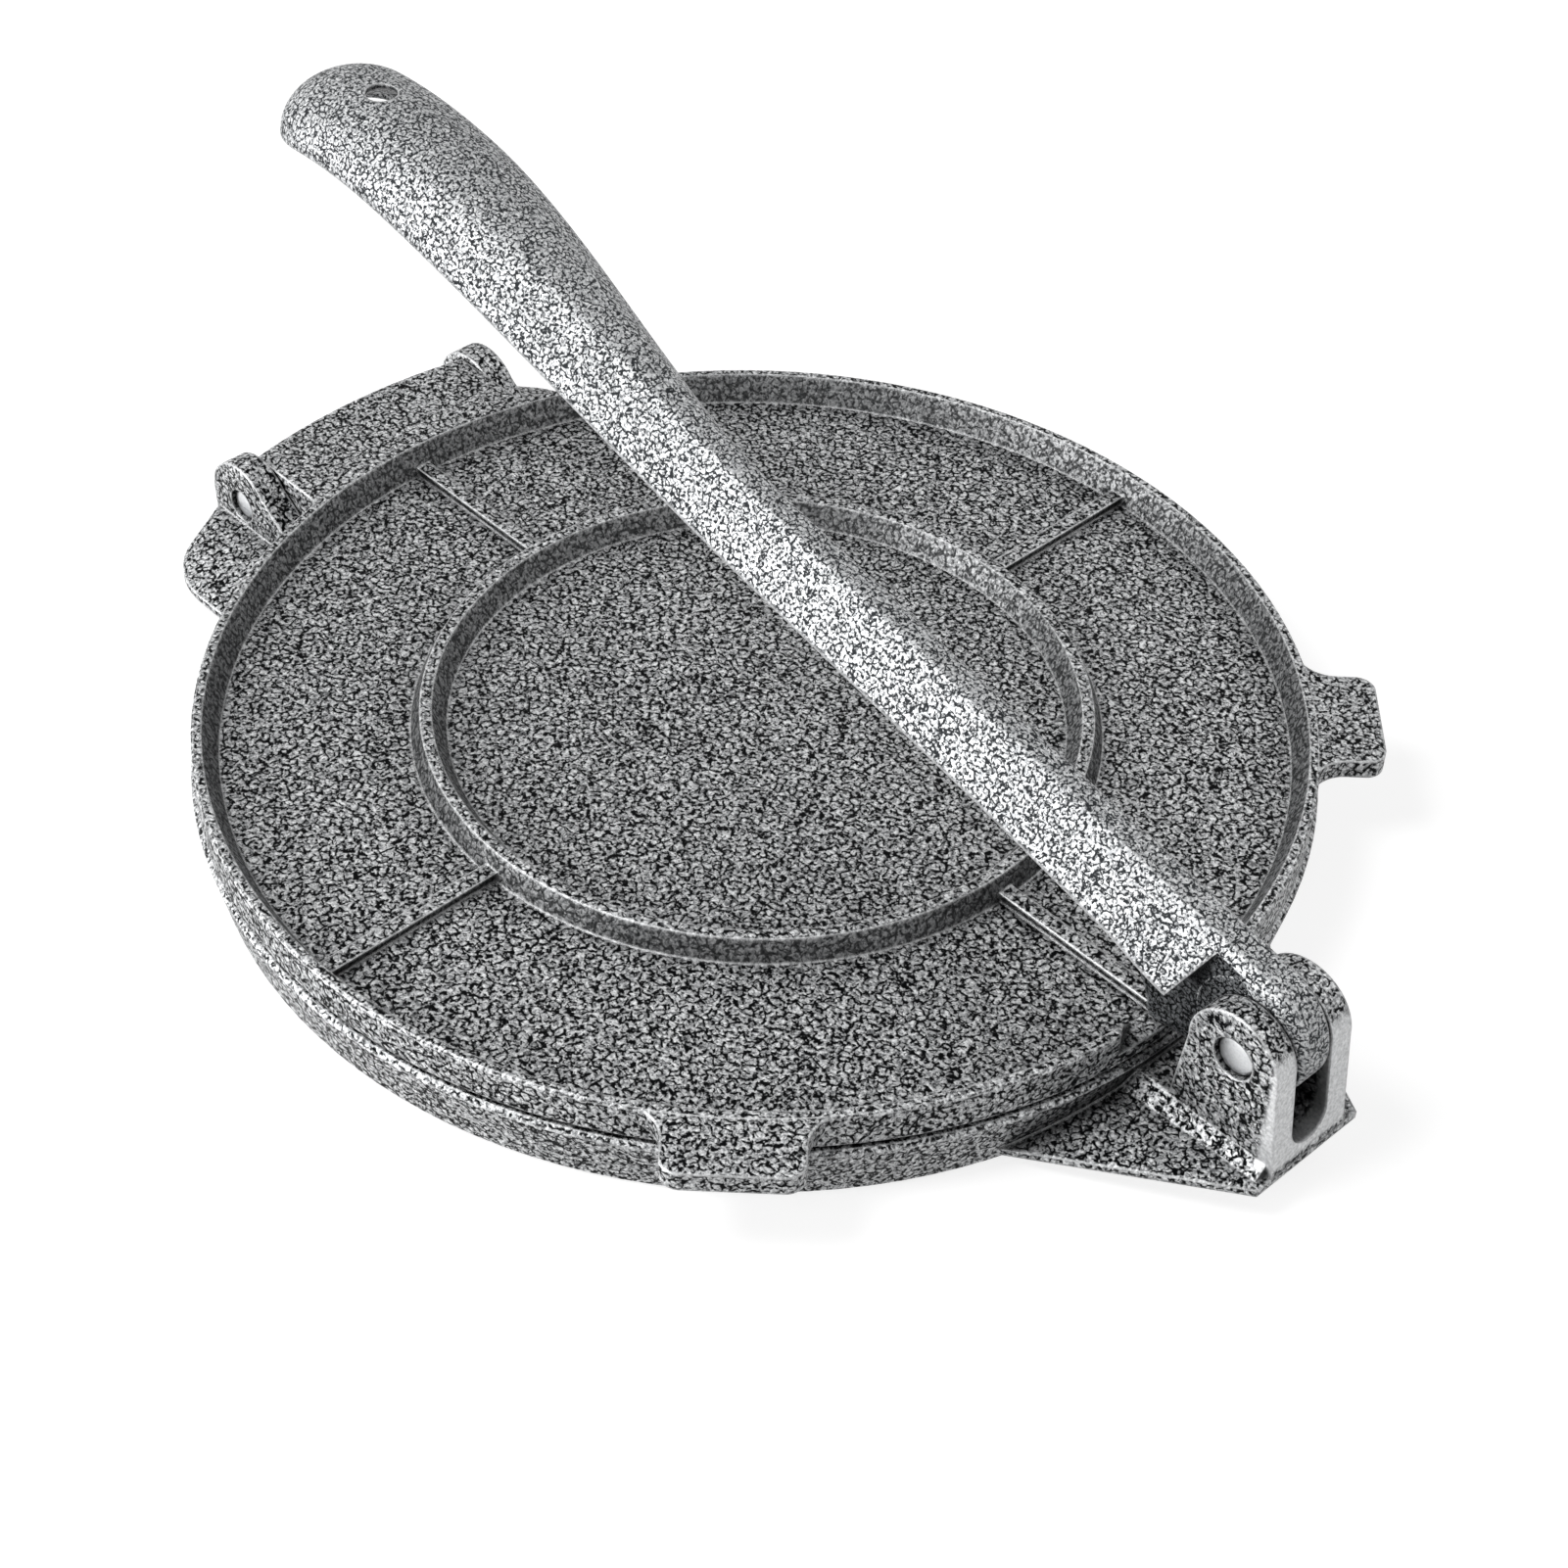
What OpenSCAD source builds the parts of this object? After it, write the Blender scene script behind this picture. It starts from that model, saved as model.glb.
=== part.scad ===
// Cast-iron tortilla press: two round plates hinged at the back (-X) and pressed together by a
// lever that is pinned to the lower plate at the front (+X). Closed, with the lever resting on top.
// Origin: centre of the underside. +Z is up, +X points from the plate hinge to the lever's pivot.

/* [Plates] */
// Outer radius of the upper plate's rim
plate_r = 103; // [101:1:104]
// Height of the lower plate's flat pressing face
base_h = 12.5; // [12:0.5:13]
// Space between the two pressing faces when the press is closed
press_gap = 0.4; // [0.3:0.1:0.6]
// Height of the upper plate's rim above its pressing face
lid_h = 7.6; // [7:0.2:8]
// Thickness of the upper plate inside its rim
lid_floor = 2.4; // [2.2:0.1:3]
// Outer radius of the lower plate at its top edge
base_r = 103.8; // [103:0.2:104.4]
// How much the lower plate's wall leans inwards towards the table
base_draft = 2.3; // [1:0.1:3]

/* [Stiffening rings and ribs] */
// Mean radius of the ring on each plate
ring_r = 60.9; // [55:1:66]
// Width of the ring's flat top
ring_top = 2.2; // [2:0.1:3]
// Width of each straight rib
rib_w = 3.2; // [2.6:0.2:4]

/* [Tabs on the upper plate] */
// Distance of a tab's outer edge from the plate's axis
tab_reach = 114.6; // [112:0.2:116]
// Half the width of a tab
tab_half = 11.8; // [9:0.2:14]
// Thickness of a tab
tab_t = 4; // [3:0.5:5]

/* [Plate hinge] */
// Distance of the hinge pin's axis behind the plate's axis
hinge_x = 117.3; // [117:0.1:118]
// Height of the hinge pin's axis
hinge_z = 12.1; // [12:0.1:12.4]
// Diameter of the hinge pin
hinge_pin_d = 7; // [6.5:0.1:7.4]
// Inner half-distance between the two hinge ears
hinge_half = 26.5; // [25:0.5:28]
// Thickness of one hinge ear
hinge_ear_t = 5.5; // [5:0.5:6]

/* [Lever pivot] */
// Distance of the lever pin's axis in front of the plate's axis
pivot_x = 121; // [120.8:0.1:121.4]
// Height of the lever pin's axis
pivot_z = 27.6; // [27.4:0.1:28]
// Diameter of the lever pin
pivot_pin_d = 8; // [7:0.2:8.4]
// Width of the slot that takes the lever's tongue
slot_w = 9; // [8.8:0.1:9.4]
// Thickness of one pivot ear
pivot_ear_t = 4.8; // [4.5:0.1:5.2]

/* [Lever] */
// Thickness of the tongue that carries the pin
tongue_t = 8; // [7.4:0.1:8.4]
// Slope of the straight part, in millimetres of rise for each millimetre of run
lever_slope = 0.2205; // [0.2:0.005:0.24]
// Half the width of the straight part at its lower edge
waist_half = 8.9; // [8:0.1:9.6]
// Half the width of the wings next to the pivot
shoulder_half = 9.9; // [9.5:0.1:11]
// Half the width of the grip
grip_half = 14.2; // [13:0.1:15]
// Distance of the grip's end behind the plate's axis
grip_end = 127.5; // [124:0.5:130]
// Height of the grip's top line at its end
grip_z = 96.8; // [95:0.2:99]
// Wall thickness of the lever's shell
shell_wall = 3.6; // [3:0.1:4.2]
// Diameter of the hanging hole in the grip
hang_d = 6; // [5:0.2:7]

/* [Hidden] */
$fn = 96;
paint = "gray";
steel = "gainsboro";
edge = 0.8;              // usual small bevel on a cast edge
fit = 0.04;              // radial clearance of a pin that something turns on
big = 400;               // longer than the whole press

// heights
lid_z = base_h + press_gap;
rim_z = lid_z + lid_h;
step_down = 0.15;            // tabs and flap lie this much below the rim's top
floor_z = lid_z + lid_floor;

// rim and ring of the upper plate
rim_top_w = 1.9;
rim_slope = 2.7;
ring_drop = 1;
ring_slope = 2.6;
rib_rise = 1.5;
tab_angles = [-45, 45];
tab_corner = 3.5;
tab_fillet = 7;
notch_r = 23.4;          // radius of the clearance round the lever's pivot
pad_z = floor_z + 0.9;   // seat that the lever's heel presses on

// underside of the lower plate
skirt = 5;
deck = 4.6;
foot_ring = 4;
foot_rib = 4;
foot_rib_lift = 1.5;
foot_boss_r = 12;

// plate hinge
hinge_ear_r = 9.3;
hinge_swing = 10.4;      // free radius that the turning flap needs
knuckle_r = 7;
flap_arc = hinge_x + 5.4; // radius of the flap's outer edge about the plate's axis
flap_half = hinge_half - 0.4;
flap_bevel = 1.6;
bracket_z = 2.2;
bracket_edge = 1.5;
bracket_ridge = 7.8;
bracket_corner = 17;
bracket_half = 49.6;
bracket_back = hinge_x + 8.3;

// lever pivot
pivot_ear_r = 9.2;
ear_foot_x = pivot_x - 11;
ear_front = pivot_x + pivot_ear_r;
ear_draft = 2.4;         // how far the front face leans out at its foot
slot_floor = 10.5;
flange_z = 2.4;          // underside of the flange at the disc
flange_lift = 4;       // how much higher that underside is at the front
flange_ridge = 7.5;
flange_edge = 1.5;
flange_front_half = 12.7;
flange_angle = 31;       // between the flange's edge and the X axis
flange_fillet = 9;
ear_fillet = 2.6;
ear_half = slot_w / 2 + pivot_ear_t;
ear_wall_z = 10.2;

// lever: the top line is straight from the pivot to the bend, then swings up into the grip
shoulder_x = pivot_x - 9;
bend_x = 5;
bend_z = pivot_z + 38.5;
tip_slope = 0.256;
top_half = 2.7;
shell_depth = 11.4;
grip_depth = 10.6;
roof = 4.2;
end_slant = 0.5;
slant_run = 22;
flare_x = shoulder_x / 2;
grip_near = bend_x - 1;
grip_far = -grip_end + 39.5;
round_x = -grip_end + grip_half;
cavity_front = shoulder_x - 12;
cavity_back = -grip_end + 13.5;
cavity_fade = 12;
tongue_r = 12.1;
tongue_bevel = [1.3, 2.2];
nose_back = 2.2;         // how far the nose's centre lies behind the pin
bar_sink = 0.12;
web_sink = 0.25;
heel_x = plate_r - 1.8;
tongue_back = heel_x - 15.2;
heel_r = 2.6;
heel_gap = 0.3;
hang_x = -grip_end + 23;
steps = 12;              // points across a section, outside and again inside
straight_steps = 9;
bend_steps = 22;
round_steps = 7;

// ---- shared shapes ----

// Cylinder of diameter d along Y, centred on the XZ point at.
module along_y(at, d, length) {
    translate([at[0], 0, at[1]])
        rotate([90, 0, 0])
            cylinder(d = d, h = length, center = true);
}

// Plane outline drawn in X and Z, given a thickness along Y and centred on Y = 0.
module upright(thickness) {
    translate([0, thickness / 2, 0])
        rotate([90, 0, 0])
            linear_extrude(thickness)
                children();
}

// The same on both sides of the plane Y = 0.
module both_sides() {
    children();
    mirror([0, 1, 0])
        children();
}

// Outline of a lug of half-width half that reaches from a disc of radius r out to reach, with
// rounded corners and a concave fillet where each side runs into the disc.
module lug(r, reach, half, corner, fillet) {
    centre_y = half + fillet;
    centre_x = sqrt(pow(r + fillet, 2) - pow(centre_y, 2));
    touch = atan2(centre_y, centre_x);
    difference() {
        polygon([
            [0, 0],
            [r * cos(touch), -r * sin(touch)],
            [centre_x, -centre_y],
            [centre_x, centre_y],
            [r * cos(touch), r * sin(touch)]
        ]);
        for (side = [-1, 1])
            translate([centre_x, side * centre_y])
                circle(fillet);
    }
    translate([0, -half])
        square([reach - corner, 2 * half]);
    translate([0, -half + corner])
        square([reach, 2 * (half - corner)]);
    for (side = [-1, 1])
        translate([reach - corner, side * (half - corner)])
            circle(corner);
}

// ---- lower plate ----

// Turned body: drafted wall, flat top, hollow underside with a skirt, a ring and a centre boss.
module base_disc() {
    foot_r = base_r - base_draft;
    deck_z = base_h - deck;
    rotate_extrude($fn = 180)
        polygon([
            [0, 0],
            [foot_boss_r, 0],
            [foot_boss_r + 1, deck_z],
            [ring_r - foot_ring / 2 - 1, deck_z],
            [ring_r - foot_ring / 2, foot_rib_lift / 2],
            [ring_r + foot_ring / 2, foot_rib_lift / 2],
            [ring_r + foot_ring / 2 + 1, deck_z],
            [foot_r - skirt - 1, deck_z],
            [foot_r - skirt, 0],
            [foot_r - edge, 0],
            [foot_r, edge],
            [base_r, base_h - edge],
            [base_r - edge, base_h],
            [0, base_h]
        ]);
}

module base_ribs() {
    length = 2 * (base_r - base_draft - skirt / 2);
    for (turn = [0, 90])
        rotate([0, 0, turn])
            translate([-length / 2, -foot_rib / 2, foot_rib_lift])
                cube([length, foot_rib, base_h - deck / 2 - foot_rib_lift]);
}

// Bracket behind the plate that carries the two hinge ears: it slopes from the ears to a thin edge.
module hinge_bracket() {
    side = bracket_half - bracket_corner;
    ear_out = hinge_half + hinge_ear_t;
    inside_x = base_r * 0.8;
    difference() {
        union() {
            hull($fn = 48) {
                for (s = [-1, 1])
                    translate([-bracket_back + bracket_corner, s * side, bracket_z])
                        cylinder(r = bracket_corner, h = bracket_edge);
                translate([-inside_x - 1, -bracket_half, bracket_z])
                    cube([1, 2 * bracket_half, bracket_edge]);
                translate([-bracket_back, -ear_out, bracket_z])
                    cube([bracket_back - inside_x, 2 * ear_out, bracket_ridge - bracket_z]);
            }
            translate([-hinge_x, -ear_out, bracket_z])
                cube([hinge_x - inside_x, 2 * ear_out, base_h - edge - bracket_z]);
        }
        translate([0, 0, -1])
            cylinder(r = base_r - base_draft - skirt / 2, h = big);
    }
}

module hinge_ears() {
    both_sides()
        translate([0, hinge_half + hinge_ear_t / 2, 0])
            upright(hinge_ear_t) {
                translate([-hinge_x, hinge_z])
                    circle(hinge_ear_r);
                polygon([
                    [-hinge_x - hinge_ear_r, hinge_z],
                    [-hinge_x - hinge_ear_r + 0.6, bracket_z],
                    [-base_r + 2, bracket_z],
                    [-base_r + 2, base_h - edge],
                    [-hinge_x + hinge_ear_r * 0.8, hinge_z + hinge_ear_r * 0.6]
                ]);
            }
}

// Foot of the clevis: a shallow skirt that slopes from the ears down to its outline, which runs
// into the disc through a concave fillet.
module pivot_flange() {
    front_x = ear_front + ear_draft;
    inside_x = base_r - 12;
    wall_r = base_r - base_draft;
    along = [-cos(flange_angle), -sin(flange_angle)];
    out = [sin(flange_angle), -cos(flange_angle)];
    start = [front_x, -flange_front_half];
    q = start + flange_fillet * out;
    reach = wall_r + flange_fillet;
    run = -(q * along) - sqrt(pow(q * along, 2) - q * q + reach * reach);
    foot = start + run * along;
    centre = q + run * along;
    hull($fn = 32) {
        translate([inside_x, foot[1], flange_z])
            cube([foot[0] - inside_x, -2 * foot[1], flange_edge]);
        translate([front_x - 1.5, -flange_front_half, flange_z + flange_lift])
            cube([1.5, 2 * flange_front_half, flange_edge]);
        translate([inside_x, -ear_half, flange_z + flange_lift])
            cube([front_x - inside_x, 2 * ear_half, flange_ridge - flange_z - flange_lift]);
    }
    both_sides()
        translate([0, 0, flange_z])
            linear_extrude(flange_edge)
                difference() {
                    polygon([
                        [inside_x, foot[1]],
                        foot,
                        centre,
                        centre * wall_r / reach,
                        [inside_x - 8, centre[1] * wall_r / reach]
                    ]);
                    translate(centre)
                        circle(flange_fillet);
                }
}

// Sloping flats where the ears rise from their foot.
module ear_fillets() {
    foot_top = flange_z + flange_lift;
    start_x = base_r - 3;
    end_x = ear_front + ear_draft - edge * 2;
    both_sides()
        translate([start_x, 0, 0])
            rotate([90, 0, 90])
                linear_extrude(end_x - start_x)
                    polygon([
                        [ear_half - 1, foot_top],
                        [ear_half - 1, flange_ridge + ear_fillet],
                        [ear_half, flange_ridge + ear_fillet],
                        [ear_half + ear_fillet + flange_ridge - foot_top, foot_top]
                    ]);
}

// Two ears with a round-bottomed slot between them.
module clevis() {
    difference() {
        upright(2 * ear_half) {
            translate([pivot_x, pivot_z])
                circle(pivot_ear_r);
            polygon([
                [ear_foot_x - 0.4, flange_z + 1],
                [ear_foot_x, ear_wall_z],
                [pivot_x - pivot_ear_r + 0.6, pivot_z + 3],
                [pivot_x, pivot_z],
                [pivot_x + pivot_ear_r, pivot_z],
                [ear_front + ear_draft, flange_z + flange_lift]
            ]);
            translate([base_r - 6, flange_z + 1])
                square([ear_foot_x - base_r + 8, ear_wall_z - flange_z - 1]);
        }
        translate([base_r, -slot_w / 2, slot_floor + slot_w / 2])
            cube([big, slot_w, big]);
        translate([base_r + 1, 0, slot_floor + slot_w / 2])
            rotate([0, 90, 0])
                cylinder(d = slot_w, h = big);
        along_y([pivot_x, pivot_z], pivot_pin_d, big);
    }
}

module lower_plate() {
    color(paint)
        difference() {
            union() {
                base_disc();
                base_ribs();
                hinge_bracket();
                hinge_ears();
                pivot_flange();
                ear_fillets();
                clevis();
            }
            along_y([-hinge_x, hinge_z], 2 * hinge_swing, 2 * hinge_half);
            translate([-hinge_x - big, -hinge_half, -1])
                cube([big, 2 * hinge_half, big]);
            along_y([-hinge_x, hinge_z], hinge_pin_d, big);
        }
}

// ---- upper plate ----

module lid_disc() {
    rim_in = plate_r - rim_top_w;
    ring_in = ring_r - ring_top / 2;
    ring_out = ring_r + ring_top / 2;
    rotate_extrude($fn = 180)
        polygon([
            [0, lid_z],
            [plate_r - edge, lid_z],
            [plate_r, lid_z + edge],
            [plate_r, rim_z - edge / 2],
            [plate_r - edge / 2, rim_z],
            [rim_in, rim_z],
            [rim_in - rim_slope, floor_z],
            [ring_out + ring_slope * 0.7, floor_z],
            [ring_out, rim_z - ring_drop],
            [ring_in, rim_z - ring_drop],
            [ring_in - ring_slope, floor_z],
            [0, floor_z]
        ]);
}

module lid_ribs() {
    for (turn = [0:90:270])
        rotate([0, 0, turn])
            translate([ring_r, -rib_w / 2, lid_z + 1])
                cube([plate_r - rim_top_w - ring_r, rib_w, floor_z + rib_rise - lid_z - 1]);
}

module lid_tab() {
    translate([0, 0, rim_z - tab_t])
        linear_extrude(tab_t - step_down)
            difference() {
                lug(plate_r - edge, tab_reach, tab_half, tab_corner, tab_fillet);
                circle(plate_r - rim_top_w * 0.6);
            }
}

// Flap that joins the plate to its hinge pin: a thick plate with an arc-shaped outer edge above a
// round knuckle.
module hinge_flap() {
    intersection() {
        translate([0, 0, lid_z + step_down])
            linear_extrude(lid_h - 2 * step_down)
                difference() {
                    union() {
                        intersection() {
                            translate([-big, -flap_half])
                                square([big, 2 * flap_half]);
                            circle(flap_arc, $fn = 180);
                        }
                        rotate([0, 0, 180])
                            lug(plate_r - edge, plate_r + 6, flap_half, 1, 4);
                    }
                    circle(plate_r - rim_top_w * 0.6);
                }
        rotate_extrude($fn = 180)
            polygon([
                [0, 0],
                [flap_arc, 0],
                [flap_arc, rim_z - flap_bevel],
                [flap_arc - flap_bevel * 0.35, rim_z - flap_bevel * 0.35],
                [flap_arc - flap_bevel, rim_z],
                [0, rim_z]
            ]);
    }
    along_y([-hinge_x, hinge_z], 2 * knuckle_r, 2 * flap_half);
}

module upper_plate() {
    color(paint)
        difference() {
            union() {
                lid_disc();
                lid_ribs();
                for (turn = tab_angles)
                    rotate([0, 0, turn])
                        lid_tab();
                hinge_flap();
            }
            translate([pivot_x, 0, pad_z])
                cylinder(r = notch_r, h = lid_h);
            along_y([-hinge_x, hinge_z], hinge_pin_d + 2 * fit, big);
        }
}

// ---- lever ----

function lerp(a, b, u) = a + (b - a) * u;
function ease(u) = let (c = min(1, max(0, u))) c * c * (3 - 2 * c);

// Height of the lever's top line at x: straight, then a cubic that meets the line at the bend.
function top_z(x) =
    x >= bend_x
        ? bend_z + lever_slope * (bend_x - x)
        : let (
            run = bend_x + grip_end,
            u = min(1, (bend_x - x) / run),
            rise = grip_z - bend_z
        )
        bend_z
            + lever_slope * run * u * pow(1 - u, 2)
            + rise * u * u * (3 - 2 * u)
            + tip_slope * run * u * u * (1 - u);

// How far the section has turned from the straight part's ridged form (0) to the grip's arch (1).
function grip_share(x) = ease((grip_near - x) / (grip_near - grip_far));

// Share of the full width left in the rounded end of the grip.
function end_share(x) = x >= round_x ? 1 : sqrt(max(0.02, 1 - pow((round_x - x) / (round_x + grip_end), 2)));

function half_width(x) =
    (waist_half
        + (shoulder_half - waist_half) * ease((x - flare_x) / (shoulder_x - flare_x))
        + (grip_half - waist_half) * grip_share(x)) * end_share(x);

function depth(x) = lerp(shell_depth, grip_depth, grip_share(x));

// How open the hollow underneath is: a shallow dish at both ends, 1 in between.
function hollow(x) =
    max(0.1, ease((cavity_front - x) / cavity_fade) * ease((x - cavity_back) / cavity_fade));

// One point of a section: s runs from -1 to 1 across it, half is its half-width at the lower edge,
// flat is the half-width of its ridge, cover is the depth of its crown and deep that of its edge.
function across(s, g, half, flat, cover, deep) =
    let (
        flat_share = 0.25,
        a = abs(s),
        u = max(0, (a - flat_share) / (1 - flat_share)),
        ridged = [a < flat_share ? flat * a / flat_share : lerp(flat, half, u), lerp(cover, deep, u)],
        arched = [half * sin(90 * a), lerp(deep, cover, cos(90 * s))],
        p = lerp(ridged, arched, g)
    )
    [s < 0 ? -p[0] : p[0], p[1]];

function section(x) =
    let (
        g = grip_share(x),
        half = half_width(x),
        deep = depth(x),
        dome = deep * (1 - end_share(x)) * 0.85,
        inner = max(0.5 * half, half - shell_wall),
        slant = end_slant * ease((x - shoulder_x + slant_run) / slant_run)
    )
    [
        for (i = [0:steps])
            let (p = across(2 * i / steps - 1, g, half, top_half * end_share(x), dome, deep))
            [x - slant * p[1], p[0], top_z(x) - p[1]],
        for (i = [0:steps])
            let (
                p = across(1 - 2 * i / steps, g, inner, top_half / 4, min(roof + dome, 0.85 * deep), deep),
                d = lerp(deep, min(deep, p[1]), hollow(x))
            )
            [x - slant * d, p[0], top_z(x) - d]
    ];

// Hollow shell of the lever, swept through sections from the shoulder to the rounded end.
module lever_shell() {
    stations = [
        for (i = [0:straight_steps])
            lerp(shoulder_x, bend_x, i / straight_steps),
        for (i = [1:bend_steps])
            lerp(bend_x, round_x, i / bend_steps),
        for (i = [1:round_steps])
            lerp(round_x, -grip_end, sin(90 * i / round_steps))
    ];
    rings = [for (x = stations) section(x)];
    count = len(rings[0]);
    last = len(rings) - 1;
    inside = count - 1;
    end = last * count;
    faces = [
        for (k = [0:last - 1], j = [0:count - 1])
            let (a = k * count + j, b = k * count + (j + 1) % count)
            each [[a, a + count, b], [b, a + count, b + count]],
        for (i = [0:steps - 1])
            each [
                [i, i + 1, inside - i],
                [i + 1, inside - i - 1, inside - i],
                [end + i + 1, end + i, end + inside - i],
                [end + inside - i - 1, end + i + 1, end + inside - i]
            ]
    ];
    polyhedron(points = [for (ring = rings) each ring], faces = faces, convexity = 6);
}

// Tongue: a bevelled bar that carries on the lever's ridge, a bevelled round nose about the pin,
// a web between them and the heel that presses the upper plate down.
module tongue() {
    tilt = atan(lever_slope);
    nose = [pivot_x - nose_back, top_z(pivot_x - nose_back) - tongue_r / cos(tilt)];
    half = tongue_t / 2;
    bar_length = (nose[0] - tongue_back) / cos(tilt);
    heel = [heel_x, pad_z + heel_gap + heel_r];
    translate([nose[0], 0, nose[1]])
        rotate([90, 0, 0])
            rotate_extrude($fn = 128)
                polygon([
                    [0, -half],
                    [tongue_r - tongue_bevel[1], -half],
                    [tongue_r, -half + tongue_bevel[0]],
                    [tongue_r, half - tongue_bevel[0]],
                    [tongue_r - tongue_bevel[1], half],
                    [0, half]
                ]);
    translate([nose[0], 0, nose[1]])
        rotate([0, tilt, 0])
            translate([0, 0, tongue_r - bar_sink])
                rotate([90, 0, -90])
                    linear_extrude(bar_length)
                        polygon([
                            [-half + bar_sink, -tongue_r],
                            [half - bar_sink, -tongue_r],
                            [half - bar_sink, -tongue_bevel[1]],
                            [half - tongue_bevel[0], 0],
                            [-half + tongue_bevel[0], 0],
                            [-half + bar_sink, -tongue_bevel[1]]
                        ]);
    upright(tongue_t - 2 * web_sink) {
        polygon([
            [tongue_back + 2, top_z(tongue_back) - roof],
            [heel[0] - heel_r * 0.8, heel[1] + heel_r * 0.3],
            heel,
            [heel[0] + heel_r * 0.3, heel[1] - heel_r * 0.75],
            [nose[0] - tongue_r * 0.11, nose[1] - tongue_r * 0.78],
            [nose[0] - tongue_r * 0.07, nose[1]]
        ]);
        translate(heel)
            circle(heel_r);
    }
}

module lever() {
    color(paint)
        difference() {
            union() {
                lever_shell();
                tongue();
            }
            along_y([pivot_x, pivot_z], pivot_pin_d + 2 * fit, big);
            translate([hang_x, 0, 0])
                cylinder(d = hang_d, h = big);
        }
}

// ---- pins ----

// Steel pin along Y with bevelled ends.
module pin(at, d, length) {
    bevel = d / 10;
    color(steel)
        translate([at[0], 0, at[1]])
            rotate([90, 0, 0])
                rotate_extrude()
                    polygon([
                        [0, -length / 2],
                        [d / 2 - bevel, -length / 2],
                        [d / 2, -length / 2 + bevel],
                        [d / 2, length / 2 - bevel],
                        [d / 2 - bevel, length / 2],
                        [0, length / 2]
                    ]);
}

module hinge_pin() {
    pin([-hinge_x, hinge_z], hinge_pin_d, 2 * (hinge_half + hinge_ear_t) - 1);
}

module lever_pin() {
    pin([pivot_x, pivot_z], pivot_pin_d, 2 * ear_half - 1);
}

lower_plate();
upper_plate();
lever();
hinge_pin();
lever_pin();
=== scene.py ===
import math

import bmesh
import bpy
from mathutils import Matrix, Vector


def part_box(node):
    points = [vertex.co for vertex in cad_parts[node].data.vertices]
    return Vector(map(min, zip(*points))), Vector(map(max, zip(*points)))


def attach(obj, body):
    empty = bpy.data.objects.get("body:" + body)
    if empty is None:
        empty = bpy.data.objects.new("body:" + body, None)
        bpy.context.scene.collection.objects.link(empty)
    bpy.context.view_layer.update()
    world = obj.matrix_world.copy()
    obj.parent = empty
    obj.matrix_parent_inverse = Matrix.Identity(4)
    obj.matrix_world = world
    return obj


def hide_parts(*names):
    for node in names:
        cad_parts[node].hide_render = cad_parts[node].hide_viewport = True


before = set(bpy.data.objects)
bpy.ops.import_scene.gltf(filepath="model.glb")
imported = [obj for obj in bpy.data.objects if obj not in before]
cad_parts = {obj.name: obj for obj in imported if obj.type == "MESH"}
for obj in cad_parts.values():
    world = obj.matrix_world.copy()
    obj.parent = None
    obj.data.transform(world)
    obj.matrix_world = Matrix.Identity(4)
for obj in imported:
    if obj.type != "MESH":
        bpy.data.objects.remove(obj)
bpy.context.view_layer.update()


# ---------------------------------------------------------------------------------------------
# Lower plate: a heavy iron casting with a drafted wall, the clevis for the lever at one end and
# two hinge ears at the other. Sand cast, then sprayed with hammertone enamel, so every edge is
# rounded by the paint and the skin is a net of dark cracks between pale, slightly domed cells.
# ---------------------------------------------------------------------------------------------

def linear(hex_colour):
    """An sRGB colour such as "8a8c8e" as linear RGBA."""
    parts = [int(hex_colour[i:i + 2], 16) / 255 for i in (0, 2, 4)]
    return [c / 12.92 if c <= 0.04045 else ((c + 0.055) / 1.055) ** 2.4 for c in parts] + [1]


def add(tree, kind, settings=None, **inputs):
    """Adds a node. settings are its own properties; an input is a number, a colour or a socket."""
    node = tree.nodes.new(kind)
    for key, value in (settings or {}).items():
        setattr(node, key, value)
    for key, value in inputs.items():
        name = key.replace("_", " ")
        socket = node.inputs[int(name[1:])] if name[1:].isdigit() else node.inputs[name]
        if isinstance(value, bpy.types.NodeSocket):
            tree.links.new(value, socket)
        else:
            socket.default_value = value
    return node


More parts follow.
